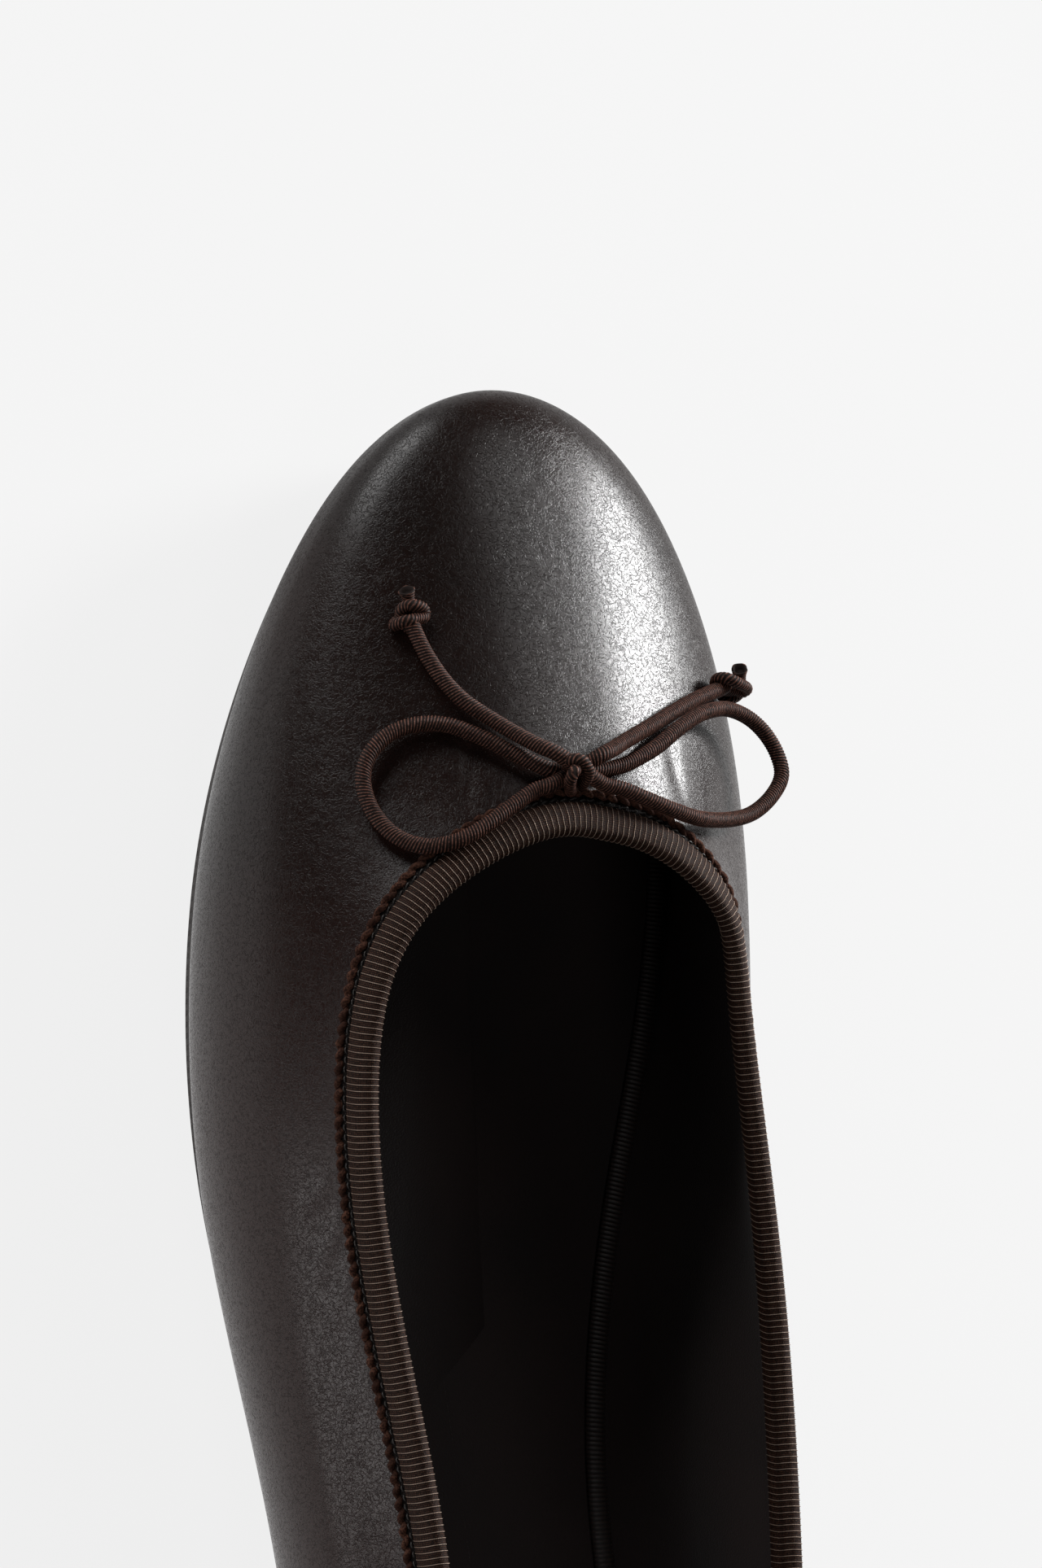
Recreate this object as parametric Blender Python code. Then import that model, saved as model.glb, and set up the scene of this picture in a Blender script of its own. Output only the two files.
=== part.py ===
import bpy
import bmesh
import math
import numpy as np
from mathutils import Matrix, Vector

# A woman's left ballet flat, standing empty on its sole.
# Metres. +Y points to the toe, +X to the inner side of the foot, +Z up.

# The last, on which every piece is shaped
LENGTH = 0.250
BALL_WIDTH = 0.084
THROAT_HEIGHT = 0.0444
BACK_HEIGHT = 0.0620
SIDE_RISE = 0.0140
BOX_RISE = 0.0120
VAMP_REACH = 0.0340
TUCK = 0.0050
TOE_SPRING = 0.0070

# The pieces
WALL = 0.0012
MARGIN = 0.0090
INSOLE_THICKNESS = 0.0018
SOLE_THICKNESS = 0.0030
SOLE_EDGE = 0.0005
SOLE_BEVEL = 0.0006
HEEL_HEIGHT = 0.0075
HEEL_LENGTH = 0.0520
HEEL_INSET = 0.0004
HEEL_TAPER = 0.0015
HEEL_SCOOP = 0.0030
HEEL_RUN_OUT = 0.0030
BINDING_LEG = 0.0050
BINDING_INNER_LEG = 0.0038
BINDING_TAPE = 0.0004
BINDING_ROLL = 0.0006
FIT_GAP = 0.0003

# The bow's cord
CORD = 0.0022
CORD_STEP = 0.0030
BOW_KNOT_LENGTH = 0.0070
BOW_KNOT_WIDTH = 0.0070
BOW_KNOT_HEIGHT = 0.0047
END_KNOT_LENGTH = 0.0050
END_KNOT_WIDTH = 0.0048
END_STUB = 0.0028

# Where the tread is flat, as shares of the length
TREAD_START = 0.58
TREAD_END = 0.72

# One row for each rib of the last, clockwise from the toe seen from above.
# turn: degrees round the shoe, which set how far along the foot the rib starts
# girth: widest line, share of half the ball width
# rise: height of the widest line over the sole, share of SIDE_RISE
# top_x, top_y: topline, shares of half the ball width and of the length
# throat, back: topline height, shares of THROAT_HEIGHT and of BACK_HEIGHT
# box: upright reach over the widest line, share of BOX_RISE
# reach: straight run below the topline, share of VAMP_REACH
# slope: degrees that this run leans up from level
# tuck: how far the sole's feather line lies inside the widest line, in TUCKs
RIB_COLUMNS = ("turn", "girth", "rise", "top_x", "top_y", "throat", "back",
               "box", "reach", "slope", "tuck")
RIBS = (
    # toe tip
    (0, 0.110, 0.68, 0.130, 0.745, 1.00, 0.00, 0.75, 1.00, 22, 1.0),
    # inner toe
    (22, 0.590, 0.68, 0.377, 0.732, 1.00, 0.00, 0.83, 0.88, 27, 1.0),
    # inner toe box
    (42, 0.890, 0.75, 0.609, 0.697, 0.98, 0.00, 1.08, 0.56, 42, 1.0),
    # inner ball
    (62, 0.990, 0.89, 0.690, 0.632, 0.94, 0.00, 1.25, 0.32, 62, 1.0),
    # inner forefoot
    (82, 0.870, 1.00, 0.776, 0.500, 0.92, 0.00, 1.00, 0.24, 72, 2.4),
    # inner waist
    (104, 0.690, 1.07, 0.764, 0.340, 0.84, 0.10, 1.00, 0.24, 78, 3.1),
    # inner heel
    (136, 0.710, 1.00, 0.640, 0.160, 0.34, 0.58, 1.17, 0.29, 78, 1.4),
    # inner heel curve
    (158, 0.490, 1.00, 0.460, 0.061, 0.10, 0.87, 1.25, 0.32, 80, 1.1),
    # back
    (180, 0.000, 1.00, 0.000, 0.024, 0.00, 1.00, 1.33, 0.35, 82, 1.0),
    # outer heel curve
    (202, -0.500, 1.00, -0.465, 0.061, 0.10, 0.87, 1.25, 0.32, 80, 1.0),
    # outer heel
    (224, -0.740, 1.00, -0.650, 0.160, 0.34, 0.58, 1.17, 0.29, 78, 1.0),
    # outer waist
    (256, -0.864, 0.93, -0.610, 0.350, 0.84, 0.10, 1.00, 0.24, 82, 1.35),
    # outer forefoot
    (280, -1.000, 0.86, -0.737, 0.530, 0.90, 0.00, 1.00, 0.24, 66, 1.0),
    # outer ball
    (298, -0.938, 0.75, -0.724, 0.647, 0.92, 0.00, 1.00, 0.27, 58, 0.85),
    # outer toe box
    (318, -0.690, 0.68, -0.480, 0.714, 0.97, 0.00, 0.83, 0.53, 40, 0.85),
    # outer toe
    (338, -0.350, 0.68, -0.127, 0.744, 1.00, 0.00, 0.75, 0.88, 27, 0.9),
)

RIB_COUNT = 80
# Steps up each rib: 0 to 1 is the margin under the foot, 1 to 2 the tuck,
# 2 to 3 the side and vamp
UPPER_STEPS = (0.0, 0.5, 1.0, 1.2, 1.4, 1.6, 1.8, 2.0, 2.09, 2.18, 2.27,
               2.37, 2.48, 2.60, 2.71, 2.82, 2.91, 3.0)


# The bow as it lies on the vamp: points in metres on the middle of the cord,
# from the knot outward, before the plan is centred
LATERAL_LOOP = (
    (-0.0029, 0.1947, 0.0430), (-0.0068, 0.1970, 0.0411), (-0.0106, 0.1993, 0.0391),
    (-0.0144, 0.2011, 0.0371), (-0.0184, 0.2014, 0.0357), (-0.0223, 0.2002, 0.0345),
    (-0.0254, 0.1975, 0.0341), (-0.0269, 0.1940, 0.0344), (-0.0267, 0.1902, 0.0356),
    (-0.0254, 0.1870, 0.0374), (-0.0234, 0.1849, 0.0396), (-0.0207, 0.1841, 0.0418),
    (-0.0173, 0.1848, 0.0438), (-0.0133, 0.1869, 0.0447), (-0.0093, 0.1894, 0.0448),
    (-0.0057, 0.1915, 0.0447), (-0.0030, 0.1923, 0.0449),
)
LATERAL_END = (
    (-0.0026, 0.1966, 0.0455), (-0.0047, 0.1979, 0.0439), (-0.0069, 0.1998, 0.0415),
    (-0.0094, 0.2021, 0.0391), (-0.0121, 0.2046, 0.0371), (-0.0140, 0.2075, 0.0353),
    (-0.0154, 0.2106, 0.0338), (-0.0164, 0.2138, 0.0326),
)
MEDIAL_LOOP = (
    (0.0054, 0.1943, 0.0434), (0.0083, 0.1948, 0.0431), (0.0111, 0.1956, 0.0427),
    (0.0158, 0.1977, 0.0418), (0.0204, 0.2004, 0.0403), (0.0256, 0.2027, 0.0380),
    (0.0311, 0.2037, 0.0353), (0.0357, 0.2028, 0.0336), (0.0389, 0.2006, 0.0331),
    (0.0409, 0.1975, 0.0331), (0.0411, 0.1943, 0.0337), (0.0385, 0.1913, 0.0349),
    (0.0343, 0.1889, 0.0366), (0.0289, 0.1878, 0.0393), (0.0218, 0.1876, 0.0433),
    (0.0163, 0.1887, 0.0451), (0.0118, 0.1902, 0.0456), (0.0079, 0.1916, 0.0456),
    (0.0049, 0.1923, 0.0455),
)
MEDIAL_END = (
    (0.0048, 0.1963, 0.0453), (0.0076, 0.1973, 0.0440), (0.0105, 0.1985, 0.0423),
    (0.0168, 0.2010, 0.0394), (0.0225, 0.2033, 0.0365), (0.0279, 0.2053, 0.0337),
    (0.0326, 0.2067, 0.0312),
)
BOW_KNOT_AT = (0.0010, 0.1942, 0.0456)
BOW_KNOT_AXIS = (0.06, 1.00, -0.36)
LATERAL_KNOT_AT = (-0.0170, 0.2168, 0.0316)
LATERAL_KNOT_AXIS = (-0.08, 1.00, -0.28)
MEDIAL_KNOT_AT = (0.0352, 0.2077, 0.0300)
MEDIAL_KNOT_AXIS = (0.55, 0.80, -0.35)

# Forms of the knots: along the axis and across it, as shares of half the
# knot's length and of its half width
BOW_KNOT_FORM = ((-1.00, 0.30), (-0.85, 0.62), (-0.60, 0.84), (-0.30, 0.95), (0.00, 0.90),
                 (0.30, 1.00), (0.60, 0.90), (0.85, 0.62), (1.00, 0.30))
END_KNOT_FORM = ((-1.00, 0.35), (-0.80, 0.80), (-0.50, 1.00), (-0.15, 0.88), (0.20, 0.96),
                 (0.50, 0.98), (0.80, 0.75), (1.00, 0.48))


def clear_scene():
    for old in list(bpy.data.objects):
        bpy.data.objects.remove(old, do_unlink=True)


def smooth_step(x):
    x = np.clip(x, 0.0, 1.0)
    return x * x * (3.0 - 2.0 * x)


def closed_spline(knots, values, at):
    """One smooth closed curve through the table's values."""
    count = len(values)
    gaps = np.diff(knots)
    left = np.zeros((count, count))
    right = np.zeros(values.shape)
    for i in range(count):
        before = gaps[i - 1]
        after = gaps[i]
        following = (i + 1) % count
        left[i, i - 1] += before
        left[i, i] += 2.0 * (before + after)
        left[i, following] += after
        rise_after = (values[following] - values[i]) / after
        rise_before = (values[i] - values[i - 1]) / before
        right[i] = 6.0 * (rise_after - rise_before)
    bend = np.linalg.solve(left, right)
    at = np.mod(at, knots[-1])
    i = np.clip(np.searchsorted(knots, at, "right") - 1, 0, count - 1)
    j = (i + 1) % count
    t = (at - knots[i])[:, None]
    span = gaps[i][:, None]
    curve = (bend[i] * (span - t) ** 3 + bend[j] * t ** 3) / (6.0 * span)
    curve += (values[i] / span - bend[i] * span / 6.0) * (span - t)
    curve += (values[j] / span - bend[j] * span / 6.0) * t
    return curve


def feather_height(y):
    """Underside of the upper above the floor, at y from the heel."""
    share = y / LENGTH
    breast = (HEEL_LENGTH + HEEL_RUN_OUT) / LENGTH
    drop = smooth_step((share - breast) / (TREAD_START - breast))
    toe = np.clip((share - TREAD_END) / (1.0 - TREAD_END), 0.0, 1.0)
    heel = HEEL_HEIGHT + FIT_GAP
    return SOLE_THICKNESS + FIT_GAP + heel * (1.0 - drop) + TOE_SPRING * toe ** 1.7


RIB_TABLE = np.array(RIBS, dtype=float)


def rib_values(turn):
    knots = np.append(RIB_TABLE[:, 0], 360.0)
    found = closed_spline(knots, RIB_TABLE[:, 1:], turn)
    return {name: found[:, i] for i, name in enumerate(RIB_COLUMNS[1:])}


def widest_line(turn):
    x = rib_values(turn)["girth"] * BALL_WIDTH / 2.0
    y = LENGTH * (1.0 + np.cos(np.radians(turn))) / 2.0
    return np.stack([x, y], axis=1)


def outward(turn):
    """Level direction square to the widest line, away from the foot."""
    along = widest_line(turn + 0.05) - widest_line(turn - 0.05)
    along /= np.linalg.norm(along, axis=1)[:, None]
    return np.stack([-along[:, 1], along[:, 0]], axis=1)


def feather_line(turn):
    tuck = rib_values(turn)["tuck"] * TUCK
    return widest_line(turn) - outward(turn) * tuck[:, None]


def lift(xy, height):
    return np.stack([xy[:, 0], xy[:, 1], height], axis=1)


def skin(turn, step):
    """Outer face of the upper, with one turn and one step for each point."""
    rib = rib_values(turn)
    wide = widest_line(turn)
    away = outward(turn)
    feather = wide - away * (rib["tuck"] * TUCK)[:, None]
    rise = rib["rise"] * SIDE_RISE
    wide_3d = lift(wide, feather_height(wide[:, 1]) + rise)
    # margin
    inside = feather - away * (MARGIN * (1.0 - np.clip(step, 0.0, 1.0)))[:, None]
    margin = lift(inside, feather_height(inside[:, 1]))
    # tuck
    angle = np.clip(step - 1.0, 0.0, 1.0) * math.pi / 2.0
    tuck_xy = feather + (wide - feather) * np.sin(angle)[:, None]
    tuck = lift(tuck_xy, feather_height(tuck_xy[:, 1]) + rise * (1.0 - np.cos(angle)))
    # side and vamp
    top_z = rib["throat"] * THROAT_HEIGHT + rib["back"] * BACK_HEIGHT
    top = np.stack([rib["top_x"] * BALL_WIDTH / 2.0, rib["top_y"] * LENGTH, top_z], axis=1)
    run = top[:, :2] - wide
    run /= np.linalg.norm(run, axis=1)[:, None]
    slope = np.radians(rib["slope"])
    lean = lift(run * np.cos(slope)[:, None], np.sin(slope))
    upright = wide_3d + lift(np.zeros_like(wide), rib["box"] * BOX_RISE)
    below = top - lean * (rib["reach"] * VAMP_REACH)[:, None]
    k = np.maximum(step - 2.0, 0.0)[:, None]
    side = (1.0 - k) ** 3 * wide_3d + 3.0 * k * (1.0 - k) ** 2 * upright
    side += 3.0 * k * k * (1.0 - k) * below + k ** 3 * top
    low = np.where((step < 1.0)[:, None], margin, tuck)
    return np.where((step < 2.0)[:, None], low, side)


def skin_normal(turn, step):
    round_way = skin(turn + 0.05, step) - skin(turn - 0.05, step)
    upper = step + 0.004
    lower = np.maximum(step - 0.004, 0.0)
    up_way = skin(turn, upper) - skin(turn, lower)
    normal = np.cross(up_way, round_way)
    return normal / np.linalg.norm(normal, axis=1)[:, None]


def skin_rise(turn):
    """Direction up the rib where it ends at the topline."""
    top = np.full_like(turn, 3.0)
    way = skin(turn, top + 0.004) - skin(turn, top - 0.004)
    return way / np.linalg.norm(way, axis=1)[:, None]


def step_below_top(turn, distance):
    """Step of the point at this distance down the rib from the topline."""
    tries = np.linspace(3.0, 2.0, 61)
    places = np.array([skin(turn, np.full_like(turn, s)) for s in tries])
    lengths = np.linalg.norm(np.diff(places, axis=0), axis=2)
    run = np.concatenate([np.zeros((1, len(turn))), np.cumsum(lengths, axis=0)])
    return np.array([np.interp(distance, run[:, i], tries) for i in range(len(turn))])


def material(name, colour, roughness, metallic=0.0):
    made = bpy.data.materials.new(name)
    made.use_nodes = True
    shader = made.node_tree.nodes["Principled BSDF"]
    shader.inputs["Base Color"].default_value = (*colour, 1.0)
    shader.inputs["Roughness"].default_value = roughness
    shader.inputs["Metallic"].default_value = metallic
    return made


def add_object(name, vertices, faces, look, sharp=40.0):
    mesh = bpy.data.meshes.new(name)
    mesh.from_pydata([tuple(v) for v in vertices], [], faces)
    work = bmesh.new()
    work.from_mesh(mesh)
    bmesh.ops.recalc_face_normals(work, faces=work.faces)
    work.to_mesh(mesh)
    work.free()
    mesh.materials.append(look)
    made = bpy.data.objects.new(name, mesh)
    bpy.context.scene.collection.objects.link(made)
    mesh.shade_smooth()
    mesh.set_sharp_from_angle(angle=math.radians(sharp))
    return made


def ring_faces(first, second, count, closed=True):
    """Quads between two rings of vertices that start at these indices."""
    faces = []
    last = count if closed else count - 1
    for i in range(last):
        j = (i + 1) % count
        faces.append((first + i, first + j, second + j, second + i))
    return faces


def cross_strips(start, count):
    """Fills a ring whose points face each other across the foot."""
    half = count // 2
    faces = [(start, start + 1, start + count - 1)]
    for i in range(1, half - 1):
        faces.append((start + i, start + i + 1, start + count - i - 1, start + count - i))
    faces.append((start + half - 1, start + half, start + half + 1))
    return faces


def closed_rings(name, rings, look, sharp=40.0):
    """A tube-like solid whose last ring meets its first one."""
    count = len(rings[0])
    faces = []
    for i in range(len(rings)):
        j = (i + 1) % len(rings)
        faces += ring_faces(i * count, j * count, count)
    return add_object(name, np.concatenate(rings), faces, look, sharp)


def capped_rings(name, rings, look, sharp=40.0):
    """A solid between its first and last ring, both filled across."""
    count = len(rings[0])
    faces = []
    for i in range(len(rings) - 1):
        faces += ring_faces(i * count, (i + 1) * count, count)
    faces += cross_strips(0, count)
    faces += cross_strips((len(rings) - 1) * count, count)
    return add_object(name, np.concatenate(rings), faces, look, sharp)


TURNS = np.arange(RIB_COUNT) * 360.0 / RIB_COUNT

# The plan is centred on the origin at the end, through these two values
dense = np.linspace(0.0, 360.0, 720, endpoint=False)
PLAN_WIDE = widest_line(dense)
TAPE_OUT = FIT_GAP + BINDING_TAPE


def make_upper(look):
    outer = []
    inner = []
    for step in UPPER_STEPS:
        steps = np.full_like(TURNS, step)
        place = skin(TURNS, steps)
        outer.append(place)
        inner.append(place - skin_normal(TURNS, steps) * WALL)
    return closed_rings("upper", outer + inner[::-1], look)


def tape_ring(distance, offset):
    """Ring along the topline, this far down the rib and off the outer face."""
    steps = step_below_top(TURNS, distance)
    return skin(TURNS, steps) + skin_normal(TURNS, steps) * offset


def rim_ring(height, offset):
    """Ring along the topline, this far above the wall's edge."""
    top = np.full_like(TURNS, 3.0)
    place = skin(TURNS, top) + skin_normal(TURNS, top) * offset
    return place + skin_rise(TURNS) * height


def make_binding(look):
    inner_face = -WALL - FIT_GAP
    inner_back = -WALL - TAPE_OUT
    middle = -WALL / 2.0
    crown = FIT_GAP + BINDING_TAPE + BINDING_ROLL
    shoulder = FIT_GAP + BINDING_TAPE * 0.75
    rings = [
        tape_ring(BINDING_LEG, TAPE_OUT),
        tape_ring(BINDING_LEG * 0.5, TAPE_OUT),
        rim_ring(0.0, TAPE_OUT),
        rim_ring(shoulder, TAPE_OUT * 0.45),
        rim_ring(crown, middle),
        rim_ring(shoulder, -WALL - TAPE_OUT * 0.45),
        rim_ring(0.0, inner_back),
        tape_ring(BINDING_INNER_LEG * 0.5, inner_back),
        tape_ring(BINDING_INNER_LEG, inner_back),
        tape_ring(BINDING_INNER_LEG, inner_face),
        tape_ring(BINDING_INNER_LEG * 0.5, inner_face),
        rim_ring(FIT_GAP, inner_face),
        rim_ring(FIT_GAP, FIT_GAP),
        tape_ring(BINDING_LEG * 0.5, FIT_GAP),
        tape_ring(BINDING_LEG, FIT_GAP),
    ]
    return closed_rings("topline_binding", rings, look, 60.0)


def inside_wall(height):
    """Plan that clears the wall's inner face, this high over the feather line."""
    tries = [step for step in UPPER_STEPS if 1.0 <= step <= 2.2]
    plans = []
    levels = []
    for step in tries:
        steps = np.full_like(TURNS, step)
        place = skin(TURNS, steps) - skin_normal(TURNS, steps) * (WALL + FIT_GAP)
        plans.append(place[:, :2])
        levels.append(place[:, 2] - feather_height(place[:, 1]))
    plans = np.array(plans)
    levels = np.array(levels)
    found = []
    for i in range(len(TURNS)):
        x = np.interp(height, levels[:, i], plans[:, i, 0])
        y = np.interp(height, levels[:, i], plans[:, i, 1])
        found.append((x, y))
    return np.array(found)


def make_insole(look):
    away = outward(TURNS)
    under = WALL + FIT_GAP
    over = under + INSOLE_THICKNESS
    top = inside_wall(over)
    edge = inside_wall(under)
    step_in = feather_line(TURNS) - away * (MARGIN + FIT_GAP)
    rings = [
        lift(top, feather_height(top[:, 1]) + over),
        lift(edge, feather_height(edge[:, 1]) + under),
        lift(step_in, feather_height(step_in[:, 1]) + under),
        lift(step_in, feather_height(step_in[:, 1])),
    ]
    return capped_rings("insole", rings, look)


def sole_outline(inset=0.0):
    return feather_line(TURNS) + outward(TURNS) * (SOLE_EDGE - inset)


def make_outsole(look):
    tuck = rib_values(TURNS)["tuck"] * TUCK
    rise = rib_values(TURNS)["rise"] * SIDE_RISE
    lip = rise * (1.0 - np.sqrt(1.0 - np.clip(SOLE_EDGE / tuck, 0.0, 1.0) ** 2))
    feather = feather_line(TURNS)
    edge = sole_outline()
    foot = sole_outline(SOLE_BEVEL)
    under = FIT_GAP + SOLE_THICKNESS
    rings = [
        lift(feather, feather_height(feather[:, 1]) - FIT_GAP),
        lift(edge, feather_height(edge[:, 1]) + lip * 0.8 - FIT_GAP),
        lift(edge, feather_height(edge[:, 1]) - under + SOLE_BEVEL),
        lift(foot, feather_height(foot[:, 1]) - under),
    ]
    return capped_rings("outsole", rings, look)


def make_heel(look):
    fine = np.linspace(90.0, 270.0, 721)
    edge = feather_line(fine) + outward(fine) * (SOLE_EDGE - HEEL_INSET)
    back = edge[:, 1] < HEEL_LENGTH
    first = fine[back][0]
    last = fine[back][-1]
    turns = np.linspace(first, last, 27)
    rings = []
    top = HEEL_HEIGHT
    for height, inset, scoop in ((top, HEEL_INSET, 0.0), (0.0, HEEL_INSET + HEEL_TAPER, 0.3)):
        curve = feather_line(turns) + outward(turns) * (SOLE_EDGE - inset)
        across = []
        start = curve[-1]
        end = curve[0]
        for k in np.linspace(0.0, 1.0, 9)[1:-1]:
            point = start + (end - start) * k
            point[1] -= HEEL_SCOOP * 4.0 * k * (1.0 - k) + HEEL_TAPER * scoop
            across.append(point)
        plan = np.concatenate([curve, np.array(across)])
        rings.append(lift(plan, np.full(len(plan), height)))
    count = len(rings[0])
    faces = ring_faces(0, count, count)
    faces.append(tuple(range(count)))
    faces.append(tuple(range(count, 2 * count)))
    return add_object("heel", np.concatenate(rings), faces, look)


def smooth_path(points, step):
    """Points evenly spaced on a smooth curve through the chosen ones."""
    route = np.array(points)
    count = len(route)
    padded = np.concatenate([[2.0 * route[0] - route[1]], route, [2.0 * route[-1] - route[-2]]])
    fine = []
    for i in range(count - 1):
        a, b, c, d = padded[i:i + 4]
        for t in np.linspace(0.0, 1.0, 12, endpoint=False):
            fine.append(0.5 * (2.0 * b + (c - a) * t + (2.0 * a - 5.0 * b + 4.0 * c - d) * t * t
                               + (3.0 * b - a - 3.0 * c + d) * t ** 3))
    fine.append(route[-1])
    fine = np.array(fine)
    run = np.append(0.0, np.cumsum(np.linalg.norm(np.diff(fine, axis=0), axis=1)))
    pieces = max(4, round(run[-1] / step))
    at = np.linspace(0.0, run[-1], pieces + 1)
    return np.stack([np.interp(at, run, fine[:, i]) for i in range(3)], axis=1)


def make_cord(name, points, look):
    curve = bpy.data.curves.new(name, "CURVE")
    curve.dimensions = "3D"
    curve.bevel_depth = CORD / 2.0
    curve.bevel_resolution = 2
    curve.use_fill_caps = True
    path = smooth_path(points, CORD_STEP)
    spline = curve.splines.new("POLY")
    spline.points.add(len(path) - 1)
    for target, place in zip(spline.points, path):
        target.co = (*place, 1.0)
    curve.materials.append(look)
    made = bpy.data.objects.new(name, curve)
    bpy.context.scene.collection.objects.link(made)
    return made


def make_knot(name, place, axis, form, length, width, height, look, stub=0.0):
    """A drawn-up knot turned along its axis, with any cut end beyond it."""
    along = Vector(axis).normalized()
    side = along.cross(Vector((0.0, 0.0, 1.0))).normalized()
    up = side.cross(along)
    rows = [(share * length / 2.0, across) for share, across in form]
    rows = [(run, across * width / 2.0, across * height / 2.0) for run, across in rows]
    if stub > 0.0:
        half = length / 2.0
        rows.append((half + stub * 0.7, CORD * 0.5, CORD * 0.5))
        rows.append((half + stub, CORD * 0.62, CORD * 0.62))
    sides = 12
    vertices = []
    faces = []
    for run, wide, tall in rows:
        for i in range(sides):
            angle = 2.0 * math.pi * i / sides
            spoke = side * (wide * math.cos(angle)) + up * (tall * math.sin(angle))
            vertices.append(Vector(place) + along * run + spoke)
    for i in range(len(rows) - 1):
        faces += ring_faces(i * sides, (i + 1) * sides, sides)
    faces.append(tuple(range(sides)))
    faces.append(tuple(range((len(rows) - 1) * sides, len(rows) * sides)))
    return add_object(name, vertices, faces, look, 60.0)


clear_scene()
LEATHER = material("smooth_leather", (0.030, 0.025, 0.022), 0.42)
TAPE = material("ribbed_tape", (0.050, 0.034, 0.026), 0.75)
SUEDE = material("lining_suede", (0.022, 0.012, 0.010), 0.90)
RUBBER = material("sole_rubber", (0.030, 0.022, 0.018), 0.65)
CORD_LOOK = material("braided_cord", (0.070, 0.045, 0.034), 0.60)

made = [make_upper(LEATHER), make_binding(TAPE), make_insole(SUEDE)]
made += [make_outsole(RUBBER), make_heel(RUBBER)]
cords = [
    make_cord("bow_loop_lateral", LATERAL_LOOP, CORD_LOOK),
    make_cord("bow_end_lateral", LATERAL_END, CORD_LOOK),
    make_cord("bow_loop_medial", MEDIAL_LOOP, CORD_LOOK),
    make_cord("bow_end_medial", MEDIAL_END, CORD_LOOK),
    make_knot("bow_knot", BOW_KNOT_AT, BOW_KNOT_AXIS, BOW_KNOT_FORM,
              BOW_KNOT_LENGTH, BOW_KNOT_WIDTH, BOW_KNOT_HEIGHT, CORD_LOOK),
    make_knot("bow_end_knot_lateral", LATERAL_KNOT_AT, LATERAL_KNOT_AXIS, END_KNOT_FORM,
              END_KNOT_LENGTH, END_KNOT_WIDTH, END_KNOT_WIDTH * 0.85, CORD_LOOK, END_STUB),
    make_knot("bow_end_knot_medial", MEDIAL_KNOT_AT, MEDIAL_KNOT_AXIS, END_KNOT_FORM,
              END_KNOT_LENGTH, END_KNOT_WIDTH, END_KNOT_WIDTH * 0.85, CORD_LOOK, END_STUB),
]

# Centre the plan of the shoe on the origin
corners = [v.co for piece in made for v in piece.data.vertices]
middle_x = (min(c.x for c in corners) + max(c.x for c in corners)) / 2.0
middle_y = (min(c.y for c in corners) + max(c.y for c in corners)) / 2.0
shift = Vector((-middle_x, -middle_y, 0.0))
for piece in made + cords:
    piece.data.transform(Matrix.Translation(shift))
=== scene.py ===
import math
import bpy
import numpy as np
from mathutils import Matrix, Vector


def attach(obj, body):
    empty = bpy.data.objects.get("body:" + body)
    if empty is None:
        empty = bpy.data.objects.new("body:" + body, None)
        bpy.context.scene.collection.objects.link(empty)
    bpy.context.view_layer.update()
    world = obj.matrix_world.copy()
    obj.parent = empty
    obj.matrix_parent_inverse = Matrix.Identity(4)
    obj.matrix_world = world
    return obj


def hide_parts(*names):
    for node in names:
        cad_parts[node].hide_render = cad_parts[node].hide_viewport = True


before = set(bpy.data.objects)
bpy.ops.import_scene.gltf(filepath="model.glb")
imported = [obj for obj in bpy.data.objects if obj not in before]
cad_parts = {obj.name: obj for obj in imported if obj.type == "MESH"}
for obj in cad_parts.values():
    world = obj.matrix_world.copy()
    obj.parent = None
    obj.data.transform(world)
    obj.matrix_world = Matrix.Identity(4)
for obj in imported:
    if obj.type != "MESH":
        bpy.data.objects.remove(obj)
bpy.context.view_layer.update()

# Camera
# The toe half fills the picture. It is seen from above and a little from the outer side,
# through a long lens that hardly narrows anything.
camera_aim = Vector((0.001263, 0.068543, 0.030))
camera_back = Vector((-0.50146, -0.06740, 0.86255)).normalized()
camera_up = Vector((0.01208, 0.99817, 0.05929))
camera_up = (camera_up - camera_back * camera_up.dot(camera_back)).normalized()
camera_right = camera_up.cross(camera_back)
camera_distance = 1.29765
camera_data = bpy.data.cameras.new("camera")
camera_data.sensor_fit = "VERTICAL"
camera_data.sensor_height = 36.0
camera_data.lens = 213.72
camera_data.clip_start = 0.05
camera_data.clip_end = 50.0
camera = bpy.data.objects.new("camera", camera_data)
bpy.context.scene.collection.objects.link(camera)
camera_turn = Matrix((camera_right, camera_up, camera_back)).transposed().to_4x4()
camera.matrix_world = Matrix.Translation(camera_aim + camera_back * camera_distance) @ camera_turn
bpy.context.scene.camera = camera
bpy.context.scene.view_settings.view_transform = "Standard"


# Bow cords
# Two runs of thin elastic cord under a braided cover. Each comes out from under the knot, makes
# a loop, crosses the knot and ends in an overhand knot on the vamp. Limp, so both lie down.
cord_width = 0.0022
braid_pitch = 0.00045
braid_strands = 4.0
# Shares of the half width: the cover's valleys, its crests and a slow unevenness
valley_share = 0.900
crest_share = 0.110
uneven_share = 0.012
uneven_rate = 900.0
cord_sides = 24
cord_step = 0.000075
# The last is measured from the back of the heel, the frame from the middle of the shoe
heel_to_frame = np.array((0.000545, -0.125, 0.0))


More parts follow.
